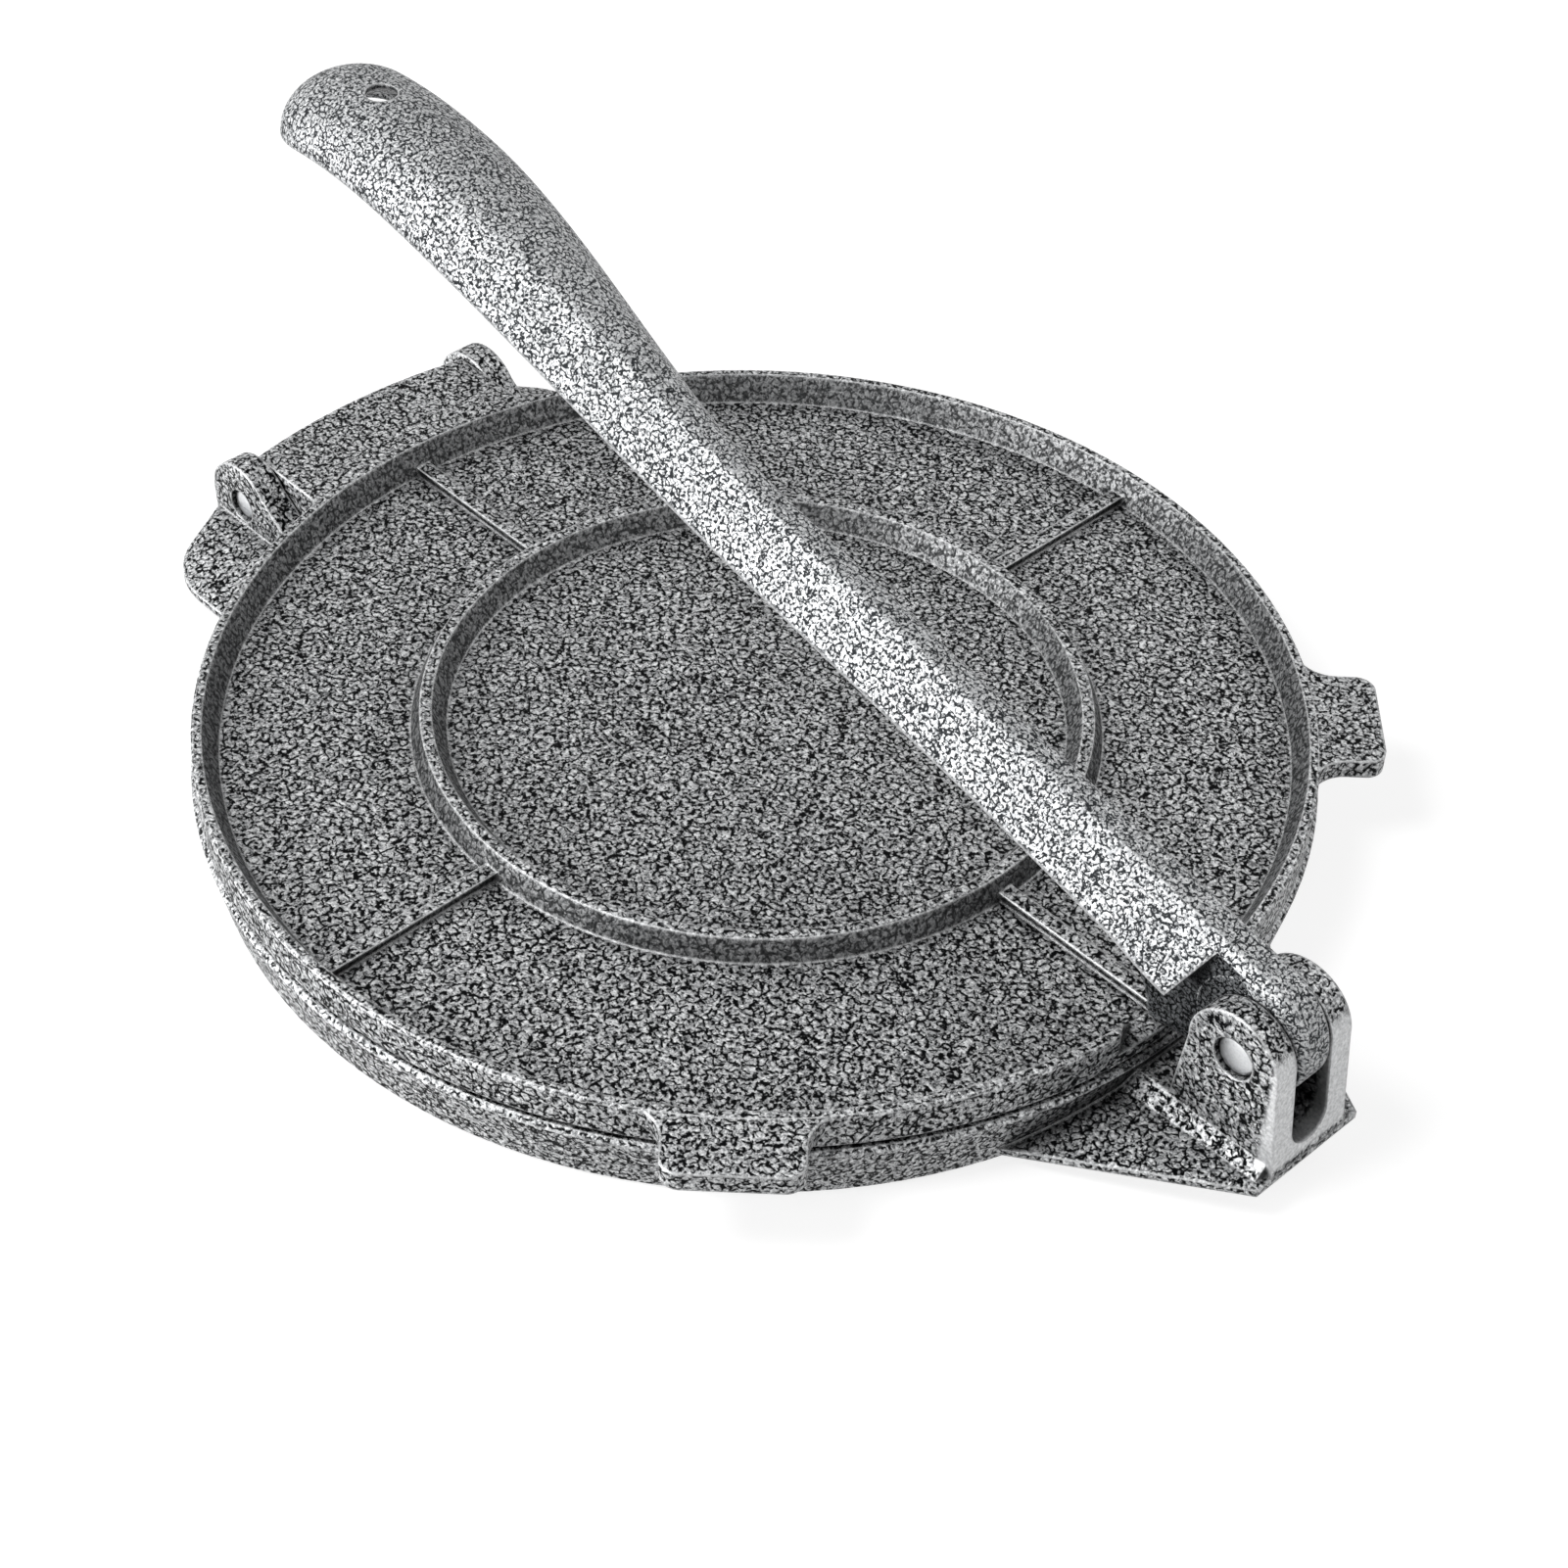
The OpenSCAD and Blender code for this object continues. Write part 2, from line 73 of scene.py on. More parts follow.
def hammertone(name, cell, ground_from=9.0, wall_within=0.0,
               dull="66686a", pale="e4e5e6", crack_depth="08090a"):
    """Hammertone enamel: aluminium flake in grey lacquer, sprayed on, which draws up as it dries
    into pale cells, cell metres across, with dark cracks between them. From a step away that is
    a silvery grey speckle.

    Beyond x = ground_from the casting was ground flat first, and the enamel lies there almost
    plain; the default of 9 m is far off the press. Steep walls closer than wall_within to the
    axis get painted shade: they are drawn darker, with fainter cracks."""
    paint = bpy.data.materials.new(name)
    paint.use_nodes = True
    tree = paint.node_tree
    tree.nodes.clear()
    coordinates = add(tree, "ShaderNodeTexCoord")
    place = coordinates.outputs["Object"]
    # The cracks wander, so the cells' borders are pushed about by a noise as coarse as the cells.
    wander = add(tree, "ShaderNodeTexNoise",
                 Vector=place, Scale=1.1 / cell, Detail=2, Roughness=0.5)
    shift = add(tree, "ShaderNodeVectorMath", {"operation": "SUBTRACT"},
                i0=wander.outputs["Color"], i1=(0.5, 0.5, 0.5))
    drift = add(tree, "ShaderNodeVectorMath", {"operation": "SCALE"},
                i0=shift.outputs["Vector"], Scale=cell * 0.85)
    bent = add(tree, "ShaderNodeVectorMath", {"operation": "ADD"},
               i0=place, i1=drift.outputs["Vector"]).outputs["Vector"]
    cells = add(tree, "ShaderNodeTexVoronoi", {"feature": "DISTANCE_TO_EDGE"},
                Vector=bent, Scale=1 / cell, Randomness=1)
    crack = add(tree, "ShaderNodeMapRange", {"interpolation_type": "SMOOTHSTEP"},
                Value=cells.outputs["Distance"], From_Min=0.07, From_Max=0.2, To_Min=1, To_Max=0)
    # Finer cracks half as far apart run only here and there.
    small = add(tree, "ShaderNodeTexVoronoi", {"feature": "DISTANCE_TO_EDGE"},
                Vector=bent, Scale=1.9 / cell, Randomness=1)
    hairline = add(tree, "ShaderNodeMapRange", {"interpolation_type": "SMOOTHSTEP"},
                   Value=small.outputs["Distance"], From_Min=0.05, From_Max=0.2, To_Min=1, To_Max=0)
    # In patches half a cell across the hairlines are open or the main cracks have closed up.
    patch = add(tree, "ShaderNodeTexNoise", Vector=place, Scale=2 / cell, Detail=1)
    open_here = add(tree, "ShaderNodeMapRange", {"interpolation_type": "SMOOTHSTEP"},
                    Value=patch.outputs["Fac"], From_Min=0.46, From_Max=0.56,
                    To_Min=0.12, To_Max=0.75)
    closed_here = add(tree, "ShaderNodeMapRange", {"interpolation_type": "SMOOTHSTEP"},
                      Value=patch.outputs["Fac"], From_Min=0.4, From_Max=0.5,
                      To_Min=0.3, To_Max=1)
    thin = add(tree, "ShaderNodeMath", {"operation": "MULTIPLY"},
               i0=hairline.outputs["Result"], i1=open_here.outputs["Result"])
    thick = add(tree, "ShaderNodeMath", {"operation": "MULTIPLY"},
                i0=crack.outputs["Result"], i1=closed_here.outputs["Result"])
    net = add(tree, "ShaderNodeMath", {"operation": "MAXIMUM"},
              i0=thin.outputs["Value"], i1=thick.outputs["Value"])
    # The enamel rounds every cast edge by about 1 mm, and runs off it, so no cracks form there.
    edge_radius = 0.001
    rounded = add(tree, "ShaderNodeBevel", {"samples": 6}, Radius=edge_radius)
    geometry = add(tree, "ShaderNodeNewGeometry")
    turn = add(tree, "ShaderNodeVectorMath", {"operation": "DOT_PRODUCT"},
               i0=rounded.outputs["Normal"], i1=geometry.outputs["Normal"])
    flat = add(tree, "ShaderNodeMapRange", {"interpolation_type": "SMOOTHSTEP"},
               Value=turn.outputs["Value"], From_Min=0.84, From_Max=0.98, To_Min=0.08, To_Max=1)
    # The ground faces are past ground_from and above the flange. They fade in over 1 mm.
    above, fade = 0.0085, 0.001
    at = add(tree, "ShaderNodeSeparateXYZ", Vector=place)
    past = add(tree, "ShaderNodeMapRange", Value=at.outputs["X"],
               From_Min=ground_from, From_Max=ground_from + fade, To_Min=0, To_Max=0.85)
    over = add(tree, "ShaderNodeMapRange", Value=at.outputs["Z"],
               From_Min=above, From_Max=above + fade, To_Min=0, To_Max=1)
    ground = add(tree, "ShaderNodeMath", {"operation": "MULTIPLY"},
                 i0=past.outputs["Result"], i1=over.outputs["Result"])
    rough_cast = add(tree, "ShaderNodeMath", {"operation": "SUBTRACT"},
                     i0=1, i1=ground.outputs["Value"])
    # Walls that get painted shade: inside the radius wall_within, and steeper than about 20
    # to 30 degrees.
    level = add(tree, "ShaderNodeCombineXYZ", X=at.outputs["X"], Y=at.outputs["Y"])
    radius = add(tree, "ShaderNodeVectorMath", {"operation": "LENGTH"}, i0=level.outputs["Vector"])
    near = add(tree, "ShaderNodeMapRange", Value=radius.outputs["Value"],
               From_Min=wall_within, From_Max=wall_within + fade / 2, To_Min=1, To_Max=0)
    facing = add(tree, "ShaderNodeSeparateXYZ", Vector=coordinates.outputs["Normal"])
    steep = add(tree, "ShaderNodeMapRange", Value=facing.outputs["Z"],
                From_Min=0.85, From_Max=0.95, To_Min=1, To_Max=0)
    inner_wall = add(tree, "ShaderNodeMath", {"operation": "MULTIPLY"},
                     i0=near.outputs["Result"], i1=steep.outputs["Result"])
    wall_shade = add(tree, "ShaderNodeMath", {"operation": "MULTIPLY"},
              i0=inner_wall.outputs["Value"], i1=flat.outputs["Result"])
    # The cracks are left out on rounded edges and ground faces, and are fainter on the walls
    # with painted shade.
    cast_skin = add(tree, "ShaderNodeMath", {"operation": "MULTIPLY"},
                    i0=flat.outputs["Result"], i1=rough_cast.outputs["Value"])
    thinned = add(tree, "ShaderNodeMath", {"operation": "MULTIPLY_ADD"},
                  i0=wall_shade.outputs["Value"], i1=-0.2, i2=1)
    shown = add(tree, "ShaderNodeMath", {"operation": "MULTIPLY"},
                i0=cast_skin.outputs["Value"], i1=thinned.outputs["Value"])
    dark = add(tree, "ShaderNodeMath", {"operation": "MULTIPLY"},
               i0=net.outputs["Value"], i1=shown.outputs["Value"])
    # Flake: a mottle inside the cells, drawn 0.6 mm across so that it shows. On rounded edges it
    # is drawn paler, a painted highlight, and on ground faces it is drawn paler too.
    flake_size = 0.0006
    flake = add(tree, "ShaderNodeTexNoise",
                Vector=place, Scale=1 / flake_size, Detail=2, Roughness=0.6)
    edge_highlight_and_ground_pale = add(tree, "ShaderNodeMath", {"operation": "MULTIPLY_ADD"},
               i0=cast_skin.outputs["Value"], i1=-0.65, i2=0.65)
    shade = add(tree, "ShaderNodeMapRange", Value=flake.outputs["Fac"],
                From_Min=0.34, From_Max=0.66, To_Min=edge_highlight_and_ground_pale.outputs["Value"], To_Max=1)
    lacquer = add(tree, "ShaderNodeMix", {"data_type": "RGBA"},
                  Factor=shade.outputs["Result"], i6=linear(dull), i7=linear(pale))
    # Painted shade: gaps about a millimetre wide, and deep inner corners, are drawn nearly black,
    # as if in shadow.
    gap_width, corner_reach = 0.0012, 0.014
    gap = add(tree, "ShaderNodeAmbientOcclusion", {"samples": 4}, Distance=gap_width)
    painted_gap_shade = add(tree, "ShaderNodeMapRange", {"interpolation_type": "SMOOTHSTEP"},
                Value=gap.outputs["AO"], From_Min=0.15, From_Max=0.6, To_Min=0.92, To_Max=0)
    recess = add(tree, "ShaderNodeAmbientOcclusion", {"samples": 4, "only_local": True},
                 Distance=corner_reach)
    painted_corner_shade = add(tree, "ShaderNodeMapRange", {"interpolation_type": "SMOOTHSTEP"},
                      Value=recess.outputs["AO"], From_Min=0.4, From_Max=0.92,
                      To_Min=0.92, To_Max=0)
    painted_shade = add(tree, "ShaderNodeMath", {"operation": "MAXIMUM"},
               i0=painted_gap_shade.outputs["Result"], i1=painted_corner_shade.outputs["Result"])
    black = add(tree, "ShaderNodeMath", {"operation": "MAXIMUM"},
                i0=dark.outputs["Value"], i1=painted_shade.outputs["Value"])
    # Painted shade on those walls: their colour is drawn up to six tenths of the way to near black.
    shaded = add(tree, "ShaderNodeMath", {"operation": "MULTIPLY"}, i0=wall_shade.outputs["Value"], i1=0.6)
    wall_shaded_lacquer = add(tree, "ShaderNodeMix", {"data_type": "RGBA"}, Factor=shaded.outputs["Value"],
                    i6=lacquer.outputs[2], i7=linear("1c1d1e"))
    cracked = add(tree, "ShaderNodeMix", {"data_type": "RGBA"}, Factor=dark.outputs["Value"],
                  i6=wall_shaded_lacquer.outputs[2], i7=linear(crack_depth))
    # The painted shade darkens the cracked colour towards near black.
    colour = add(tree, "ShaderNodeMix", {"data_type": "RGBA"}, Factor=painted_shade.outputs["Value"],
                 i6=cracked.outputs[2], i7=linear("08090a"))
    rough = add(tree, "ShaderNodeMapRange", Value=black.outputs["Value"], To_Min=0.36, To_Max=0.7)
    # Flake makes the enamel a quarter metallic, and more on ground iron. Black and metallic
    # together reflect nothing: that is how the depth of a crack looks, and the painted shade too.
    bright = add(tree, "ShaderNodeMath", {"operation": "MULTIPLY_ADD"},
                 i0=ground.outputs["Value"], i1=0.22, i2=0.24)
    sheen = add(tree, "ShaderNodeMapRange", Value=black.outputs["Value"], From_Max=0.6,
                To_Min=bright.outputs["Value"], To_Max=1)
    # The cells are low domes, and the cracks between them at most 0.1 mm deep.
    dome = add(tree, "ShaderNodeMath", {"operation": "MULTIPLY_ADD"},
               i0=net.outputs["Value"], i1=-1, i2=flake.outputs["Fac"])
    height = add(tree, "ShaderNodeMath", {"operation": "MULTIPLY"},
                 i0=dome.outputs["Value"], i1=shown.outputs["Value"])
    relief = add(tree, "ShaderNodeBump", Strength=0.6, Distance=0.0001,
                 Height=height.outputs["Value"], Normal=rounded.outputs["Normal"])
    skin = add(tree, "ShaderNodeBsdfPrincipled", Base_Color=colour.outputs[2],
               Metallic=sheen.outputs["Result"], Roughness=rough.outputs["Result"],
               Normal=relief.outputs["Normal"])
    add(tree, "ShaderNodeOutputMaterial", Surface=skin.outputs["BSDF"])
    return paint


def coat(node, paint):
    """Gives every material slot of a CAD node the paint."""
    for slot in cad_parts[node].material_slots:
        slot.material = paint


# Cells of 1.6 mm. The clevis's two front faces, past x = 128.5 mm, are ground.
coat("lower_plate", hammertone("ground_hammertone_enamel", 0.0016, ground_from=0.1285))


# ---------------------------------------------------------------------------------------------
# Upper plate: the second iron casting, with a raised rim, a stiffening ring, ribs and tabs. It
# has the same enamel and swings on the rear pin.
# ---------------------------------------------------------------------------------------------

# Cells of 1.7 mm. The inner walls of the rim and the ring lie within 101 mm of the axis.
coat("upper_plate", hammertone("hammertone_enamel", 0.0017, wall_within=0.101))


# ---------------------------------------------------------------------------------------------
# Lever: a slim cast arm, ridged and hollow underneath, that swells into a smooth arched grip with
# a hanging hole, and ends in a bevelled tongue and a heel. It is one casting, so the shell, the
# tongue and the heel are joined into one skin; its enamel went on thinner, in smaller cells.
# ---------------------------------------------------------------------------------------------

pivot = (0.121, 0.0276)                      # x and z of the lever's pin
bend = (0.005, 0.0661)                       # x and z where the arm turns up into the grip
slope = 0.2205                               # fall of the straight arm towards the pin
grip_tip = (-0.1275, 0.0968)
tip_fall = 0.256                             # slope of the top line at the grip's end
shoulder = 0.112                             # where the shell stops and the tongue goes on
# Half widths of the ridge's flat top, and of the arm at its waist, its shoulder and its grip.
ridge_half, waist_half, shoulder_half, grip_half = 0.0027, 0.0089, 0.0099, 0.0142
# Depth of the shell at the arm and the grip, and its thickness on top and at the sides.
arm_depth, grip_depth, roof, wall = 0.0114, 0.0106, 0.0042, 0.0036
end_start = grip_tip[0] + grip_half
grip_from, grip_run = 0.004, 0.092           # the ridged arm turns into the round grip
flare_from = 0.056                           # the arm widens from here to the shoulder
hollow_front, front_fade = 0.1, 0.012        # the hollow starts here and deepens over this run
hollow_rear, rear_fade = -0.1235, 0.008
lean_run, lean_most = 0.022, 0.5             # the shell's end face at the shoulder leans back
crown_soft, roof_soft = 0.0009, 0.0003       # rounding where the ridge's top meets its slopes
crown_part = 0.25                            # share of a ring's points on the flat top
cap_share = 0.85                             # most of the depth that a dome or a roof takes


def mix(a, b, share):
    """a at share 0 and b at share 1."""
    return a + (b - a) * share


def ease(share):
    """0 up to share 0 and 1 from share 1, with a smooth step between."""
    share = min(1, max(0, share))
    return share * share * (3 - 2 * share)


def top_line(x):
    """Height of the lever's crown: straight over the plates, then a curve up to the grip's end."""
    if x >= bend[0]:
        return bend[1] + slope * (bend[0] - x)
    run = bend[0] - grip_tip[0]
    u = min(1, (bend[0] - x) / run)
    rise = grip_tip[1] - bend[1]
    return (bend[1] + slope * run * u * (1 - u) ** 2 + rise * u * u * (3 - 2 * u)
            + tip_fall * run * u * u * (1 - u))


def section(x, outside, inside):
    """One closed ring of the shell: over the crown from the -Y edge, then back along the hollow."""
    grip = ease((grip_from - x) / grip_run)
    # The grip's end is half an ellipse from above, and its last ring keeps a little width.
    share = 1 if x >= end_start else math.sqrt(max(0.004, 1 - ((end_start - x) / grip_half) ** 2))
    flare = ease((x - flare_from) / (shoulder - flare_from))
    half = (waist_half + (shoulder_half - waist_half) * flare
            + (grip_half - waist_half) * grip) * share
    deep = mix(arm_depth, grip_depth, grip)
    dome = deep * (1 - share) * cap_share
    hollow = max(0.1, ease((hollow_front - x) / front_fade) * ease((x - hollow_rear) / rear_fade))
    lean = lean_most * ease((x - shoulder + lean_run) / lean_run)

    def across(s, half, flat, cover, soft):
        """y and depth at s, from -1 to 1 across the lever: ridged on the arm, round on the grip."""
        a = abs(s)
        u = max(0, (a - crown_part) / (1 - crown_part))
        y = flat * a / crown_part if a < crown_part else mix(flat, half, u)
        past = y - flat
        ridged = cover + (deep - cover) / (half - flat) * (past + math.hypot(past, soft)) / 2
        angle = math.pi / 2 * a
        y = mix(y, half * math.sin(angle), grip)
        z = mix(min(ridged, deep), mix(deep, cover, math.cos(angle)), grip)
        return (y if s > 0 else -y), z

    ring = []
    for i in range(outside + 1):
        y, z = across(2 * i / outside - 1, half, ridge_half * share, dome, crown_soft)
        ring.append((x - lean * z, y, top_line(x) - z))
    inner, inner_flat = max(0.5 * half, half - wall), ridge_half / 4
    cover = min(roof + dome, cap_share * deep)
    for i in range(inside + 1):
        y, z = across(1 - 2 * i / inside, inner, inner_flat, cover, roof_soft)
        z = mix(deep, min(deep, z), hollow)
        ring.append((x - lean * z, y, top_line(x) - z))
    return ring


def solid(name, points, faces):
    """A closed mesh object with its normals outwards."""
    mesh = bpy.data.meshes.new(name)
    mesh.from_pydata(points, [], faces)
    work = bmesh.new()
    work.from_mesh(mesh)
    bmesh.ops.recalc_face_normals(work, faces=work.faces)
    work.to_mesh(mesh)
    work.free()
    thing = bpy.data.objects.new(name, mesh)
    bpy.context.collection.objects.link(thing)
    return thing


def sweep(name, rings):
    """Closed rings joined one to the next, with a flat face at each end."""
    count = len(rings[0])
    points = [p for ring in rings for p in ring]
    faces = [(k * count + j, k * count + (j + 1) % count, (k + 1) * count + (j + 1) % count,
              (k + 1) * count + j) for k in range(len(rings) - 1) for j in range(count)]
    faces += [tuple(range(count - 1, -1, -1)), tuple(range(len(points) - count, len(points)))]
    return solid(name, points, faces)


def disc(name, centre, profile, count):
    """A round solid about an axis along Y; profile lists its radius and Y, face to face."""
    return sweep(name, [[(centre[0] + r * math.cos(math.tau * i / count), y,
                          centre[1] + r * math.sin(math.tau * i / count)) for i in range(count)]
                        for r, y in profile])


# Rings along the straight arm, then the curve, then closer and closer together at the grip's end.
stations = [mix(shoulder, bend[0], i / 36) for i in range(37)]
stations += [mix(bend[0], end_start, i / 60) for i in range(1, 61)]
stations += [mix(end_start, grip_tip[0], math.sin(math.pi / 2 * i / 16)) for i in range(1, 17)]
lever = sweep("lever_arm", [section(x, 40, 24) for x in stations])

# The tongue: a disc around the pin with bevelled rims, which a bar with the same bevels joins to
# the arm, and below them a web down to the heel.
tilt = math.atan(slope)
nose_r, tongue_half = 0.0121, 0.004
nose_x = pivot[0] - 0.0022
nose = (nose_x, top_line(nose_x) - nose_r / math.cos(tilt))
bar_end = 0.086                    # x inside the arm where the bar stops
bevel = ((0.0022, 0), (0.0005, 0.001), (0, 0.0016))   # in from the rim, and in from the side
half_rim = [(nose_r - down, tongue_half - inwards) for down, inwards in bevel]
parts = [disc("tongue_nose", nose, [(r, -y) for r, y in half_rim] + half_rim[::-1], 96)]
side = tongue_half - 0.00012       # just inside the disc's sides, so no two faces coincide
bar = [(-side, -nose_r), (side, -nose_r), (side, -0.0022), (side - 0.0009, -0.0006),
       (side - 0.0015, -0.0001), (-side + 0.0015, -0.0001), (-side + 0.0009, -0.0006),
       (-side, -0.0022)]
along = Vector((-math.cos(tilt), 0, math.sin(tilt)))
upward = Vector((math.sin(tilt), 0, math.cos(tilt)))
start = Vector((nose[0], 0, nose[1])) + upward * nose_r
bar_ends = (0, (nose[0] - bar_end) / math.cos(tilt))
parts.append(sweep("tongue_bar", [[tuple(start + along * run + Vector((0, y, 0)) + upward * z)
                                   for y, z in bar] for run in bar_ends]))
heel, web_half = (0.1012, 0.0191), 0.00375
web = [(0.088, top_line(bar_end) - roof), (heel[0] - 0.0021, heel[1] + 0.0008), heel,
       (heel[0] + 0.0008, heel[1] - 0.002), (nose[0] - 0.0013, nose[1] - 0.0094),
       (nose[0] - 0.0008, nose[1])]
parts.append(sweep("tongue_web", [[(x, y, z) for x, z in web] for y in (-web_half, web_half)]))
parts.append(disc("heel", heel, [(0.0022, -web_half), (0.0026, -0.0033), (0.0026, 0.0033),
                                 (0.0022, web_half)], 40))
# The lever turns freely on its pin. The hanging hole is cast with draft, so it widens towards the
# hollow; its profile lists its radius and height, from below the grip to above it.
bore_r, hole_x, hole_points = 0.00404, -0.1045, 48
hole_profile = ((0.0085, 0.084), (0.0085, 0.0938), (0.003, 0.0982), (0.003, 0.15))
circle = [(math.cos(math.tau * i / hole_points), math.sin(math.tau * i / hole_points))
          for i in range(hole_points)]
cuts = [disc("pin_bore", pivot, [(bore_r, -0.02), (bore_r, 0.02)], 64),
        sweep("hanging_hole", [[(hole_x + r * x, r * y, z) for x, y in circle]
                               for r, z in hole_profile])]
for other, what in [(o, "UNION") for o in parts] + [(o, "DIFFERENCE") for o in cuts]:
    join = lever.modifiers.new(other.name, "BOOLEAN")
    join.solver, join.operation, join.object = "EXACT", what, other
shape = bpy.data.meshes.new_from_object(lever.evaluated_get(bpy.context.evaluated_depsgraph_get()))
lever.modifiers.clear()
lever.data = shape
for other in parts + cuts:
    bpy.data.objects.remove(other)
# The joins leave slivers about a micrometre thin and faces with many corners; the slivers are
# melted and those faces cut into triangles, so the skin stays closed.
sliver = 0.000002
work = bmesh.new()
work.from_mesh(shape)
bmesh.ops.remove_doubles(work, verts=work.verts, dist=sliver)
bmesh.ops.dissolve_degenerate(work, edges=work.edges, dist=sliver)
bmesh.ops.triangulate(work, faces=[face for face in work.faces if len(face.verts) > 4])
work.to_mesh(shape)
work.free()
shape.shade_smooth()
shape.set_sharp_from_angle(angle=math.radians(38))
# Cells of 1.15 mm, as the coat is thinner, with cracks that are less deep.
lever_enamel = hammertone("fine_hammertone_enamel", 0.00115,
                          dull="8a8c8e", pale="d3d4d5", crack_depth="282a2c")
# The tongue's web below the arm gets painted shade: its sides have a much darker enamel.
web_shade_enamel = hammertone("shaded_hammertone_enamel", 0.00115, dull="343638", pale="6c6e70")
shape.materials.clear()
for paint in (lever_enamel, web_shade_enamel):
    shape.materials.append(paint)
# Those sides are the faces that look sideways, lie on the tongue and are under the arm.
for face in shape.polygons:
    beside = abs(face.normal.y) > 0.9 and abs(face.center.y) < tongue_half + 0.0005
    face.material_index = int(beside and face.center.x < shoulder + 0.006)
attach(lever, "arm")
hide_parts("lever")


# ---------------------------------------------------------------------------------------------
# Pins: turned mild-steel rods, pressed into the lower plate's ears, with their ends struck over
# into shallow domes. They are left bare, so they are bright and have only a faint grain.
# ---------------------------------------------------------------------------------------------

steel = bpy.data.materials.new("turned_steel")
steel.use_nodes = True
tree = steel.node_tree
tree.nodes.clear()
place = add(tree, "ShaderNodeTexCoord").outputs["Object"]
grain_size = 0.0004                # 0.4 mm, coarser than real turning marks, so that it shows
grain = add(tree, "ShaderNodeTexNoise", Vector=place, Scale=1 / grain_size, Detail=3)
tone = add(tree, "ShaderNodeMix", {"data_type": "RGBA"}, Factor=grain.outputs["Fac"],
           i6=linear("b9bbbd"), i7=linear("e2e3e4"))
wear = add(tree, "ShaderNodeMapRange", Value=grain.outputs["Fac"], To_Min=0.22, To_Max=0.42)
marks = add(tree, "ShaderNodeBump", Strength=0.2, Distance=0.00005, Height=grain.outputs["Fac"])
metal = add(tree, "ShaderNodeBsdfPrincipled", Base_Color=tone.outputs[2], Metallic=1,
            Roughness=wear.outputs["Result"], Normal=marks.outputs["Normal"])
add(tree, "ShaderNodeOutputMaterial", Surface=metal.outputs["BSDF"])
for node in ("hinge_pin", "lever_pin"):
    low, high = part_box(node)
    r, end = (high[0] - low[0]) / 2, high[1]
    # Each end is a dome over nine tenths of the pin's width, inside a chamfer as high again.
    rise, dome_part = 0.0006, 0.9
    steps = [math.radians(degrees) for degrees in range(6, 91, 12)]
    half_profile = [(r * math.sin(a) * dome_part, end - rise * (1 - math.cos(a))) for a in steps]
    half_profile.append((r, end - 2 * rise))
    turned = disc(node + "_steel", ((low[0] + high[0]) / 2, (low[2] + high[2]) / 2),
                  [(width, -y) for width, y in half_profile] + half_profile[::-1], 64)
    turned.data.shade_smooth()
    turned.data.set_sharp_from_angle(angle=math.radians(30))
    turned.data.materials.append(steel)
    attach(turned, "base")
    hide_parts(node)


# ---------------------------------------------------------------------------------------------
# Table and light: a plain matt laminate table that shows the press's soft shadow, in a pale
# room. Of four large soft lamps, one is high and one low on the near side, and two weak ones
# stand in front and on the far side.
# ---------------------------------------------------------------------------------------------

def seen_directly(tree):
    """A socket that is 1 where the camera sees a thing, also in a mirror or through glass."""
    path = add(tree, "ShaderNodeLightPath")
    seen = add(tree, "ShaderNodeMath", {"operation": "MAXIMUM"},
               i0=path.outputs["Is Camera Ray"], i1=path.outputs["Is Glossy Ray"])
    seen = add(tree, "ShaderNodeMath", {"operation": "MAXIMUM"},
               i0=seen.outputs["Value"], i1=path.outputs["Is Transmission Ray"])
    return seen.outputs["Value"]


table_mesh = bpy.data.meshes.new("table_top")
reach = 4                          # metres from the press to each edge of the table
table_mesh.from_pydata([(-reach, -reach, 0), (reach, -reach, 0), (reach, reach, 0),
                        (-reach, reach, 0)], [], [(0, 1, 2, 3)])
table_top = bpy.data.objects.new("table_top", table_mesh)
bpy.context.collection.objects.link(table_top)
laminate = bpy.data.materials.new("white_laminate")
laminate.use_nodes = True
tree = laminate.node_tree
tree.nodes.clear()
# Grey enough to throw little light back on the press, and lit up where it is seen, so it looks
# white.
matt = add(tree, "ShaderNodeBsdfPrincipled", Base_Color=linear("8c8c8c"), Roughness=0.7)
glow = add(tree, "ShaderNodeEmission", Color=(1, 1, 1, 1), Strength=0.8)
both = add(tree, "ShaderNodeAddShader", i0=matt.outputs["BSDF"], i1=glow.outputs["Emission"])
mixed = add(tree, "ShaderNodeMixShader", i0=seen_directly(tree), i1=matt.outputs["BSDF"],
            i2=both.outputs["Shader"])
add(tree, "ShaderNodeOutputMaterial", Surface=mixed.outputs["Shader"])
table_mesh.materials.append(laminate)

room = bpy.data.worlds.new("pale_room")
bpy.context.scene.world = room
room.use_nodes = True
tree = room.node_tree
tree.nodes.clear()
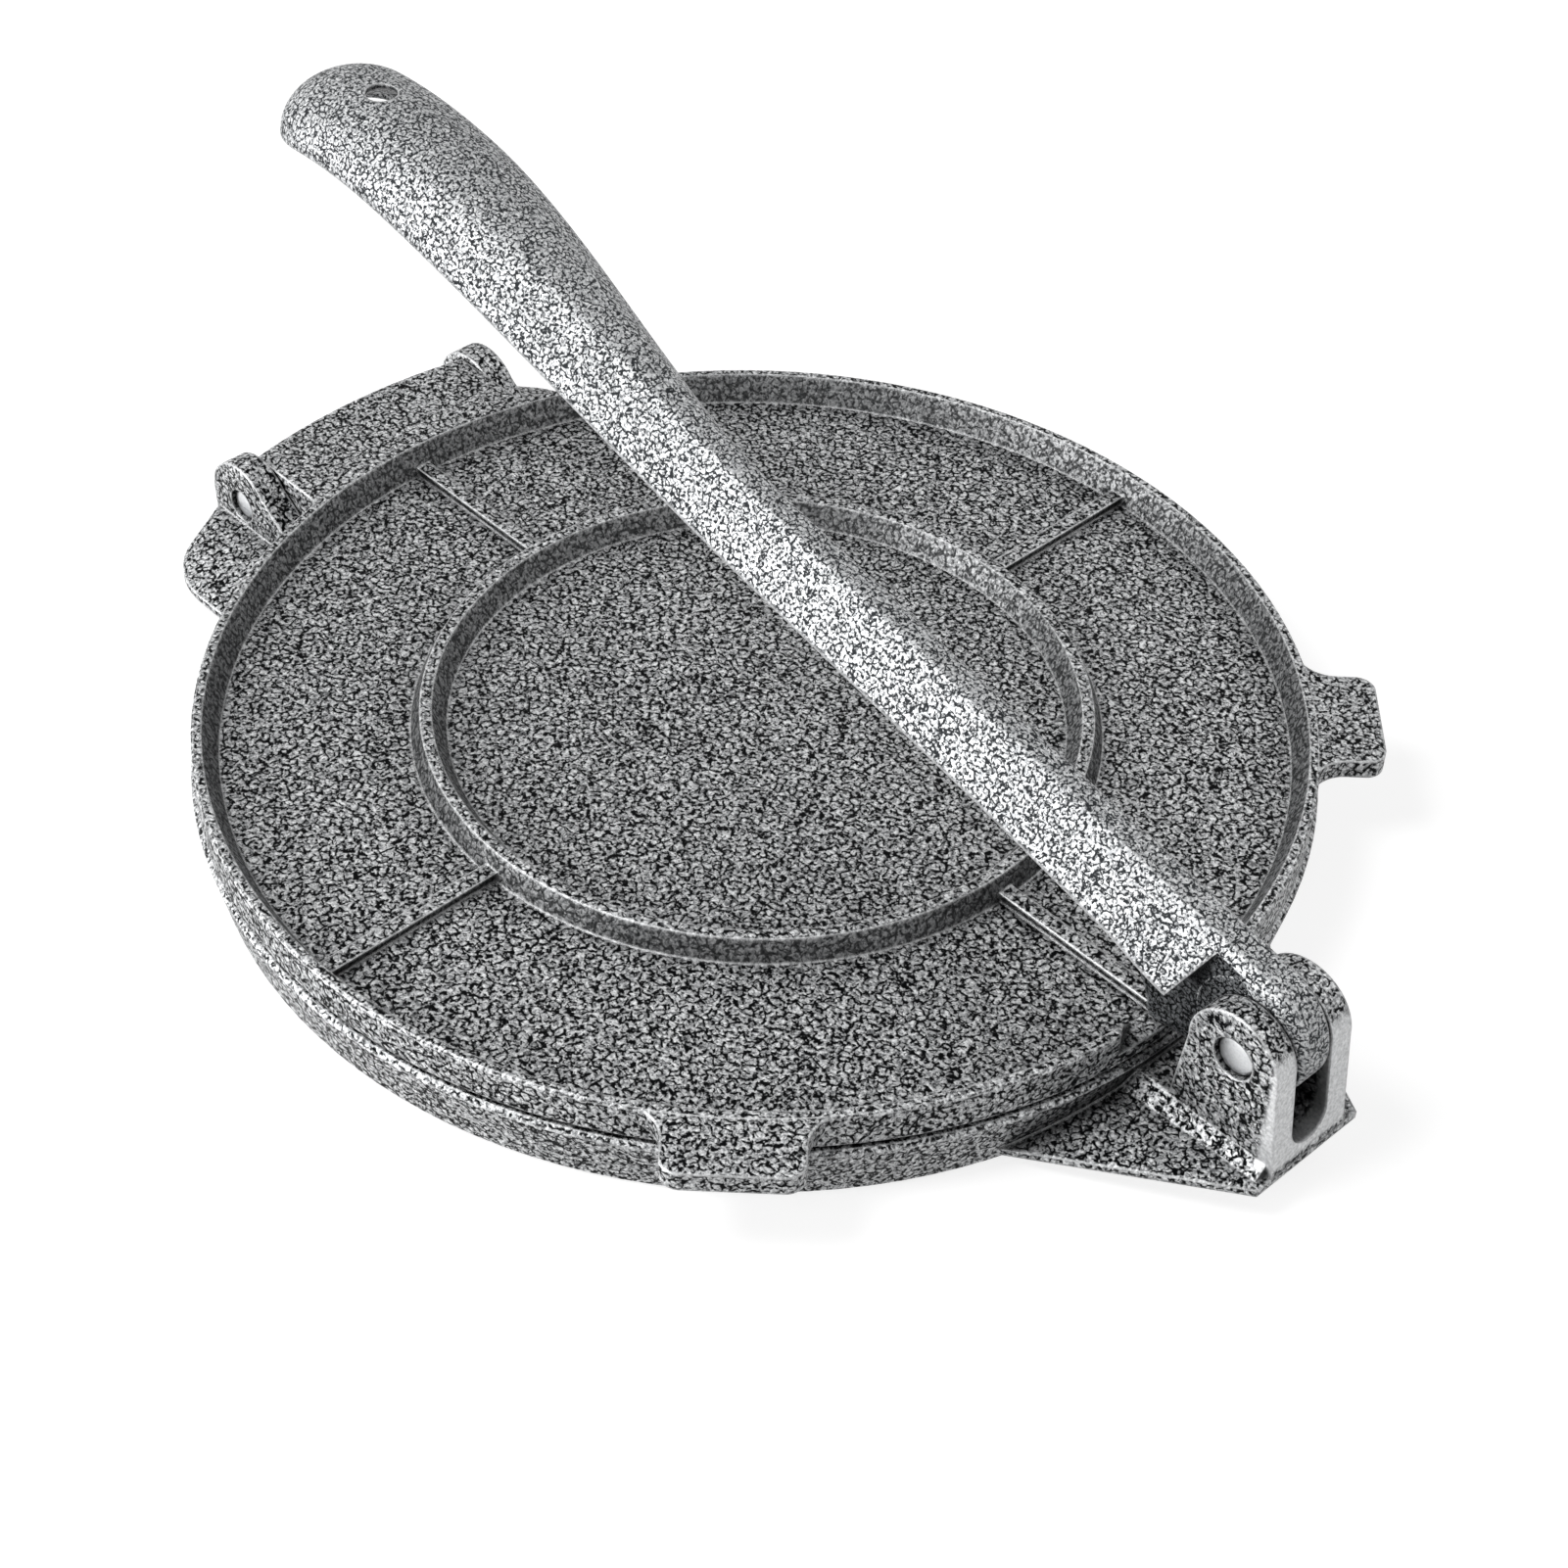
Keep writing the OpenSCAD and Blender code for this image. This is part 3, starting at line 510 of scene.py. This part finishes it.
# White where it is seen, and a dim light on the press.
strength = add(tree, "ShaderNodeMapRange", Value=seen_directly(tree), To_Min=0.12, To_Max=1)
sky = add(tree, "ShaderNodeBackground", Color=(1, 1, 1, 1), Strength=strength.outputs["Result"])
add(tree, "ShaderNodeOutputWorld", Surface=sky.outputs["Background"])


def lamp(name, toward, distance, size, power):
    """A rectangular soft lamp that looks at the press: distance and size in metres, power in W."""
    light = bpy.data.lights.new(name, "AREA")
    light.shape = "RECTANGLE"
    light.size, light.size_y = size
    light.energy = power
    holder = bpy.data.objects.new(name, light)
    bpy.context.collection.objects.link(holder)
    way = Vector(toward).normalized()
    holder.location = way * distance
    holder.rotation_mode = "QUATERNION"
    holder.rotation_quaternion = way.to_track_quat("Z", "Y")


lamp("high_lamp", (-0.2, -0.5, 0.84), 1.1, (0.4, 0.4), 9.2)
lamp("side_lamp", (-0.45, -0.9, 0.22), 1.1, (0.8, 0.5), 15)
lamp("front_lamp", (1, -0.05, 0.3), 1.2, (0.45, 0.45), 2)
lamp("far_lamp", (0.25, 0.8, 0.65), 1.3, (0.9, 0.5), 3.5)

# The camera stands 568 mm off, a little to the right of the line to the origin and below it.
sensor, focal_px, frame_px = 36, 3077, 1601
camera = bpy.data.cameras.new("view")
camera.sensor_width = sensor
camera.lens = sensor * focal_px / frame_px
camera.clip_start, camera.clip_end = 0.01, 20
azimuth, elevation, roll = (math.radians(v) for v in (-44.87, 42.80, 2.27))
aside, lowered, away = 0.00535, 0.00161, 0.568
back = Vector((math.cos(azimuth) * math.cos(elevation), math.sin(azimuth) * math.cos(elevation),
               math.sin(elevation)))
right = Vector((0, 0, 1)).cross(back).normalized()
up = back.cross(right)
turned_right = right * math.cos(roll) + up * math.sin(roll)
turned_up = up * math.cos(roll) - right * math.sin(roll)
stand = bpy.data.objects.new("view", camera)
bpy.context.collection.objects.link(stand)
stand.matrix_world = Matrix.Translation(
    turned_right * aside - turned_up * lowered + back * away
) @ Matrix((turned_right, turned_up, back)).transposed().to_4x4()
bpy.context.scene.camera = stand
bpy.context.scene.view_settings.view_transform = "Standard"
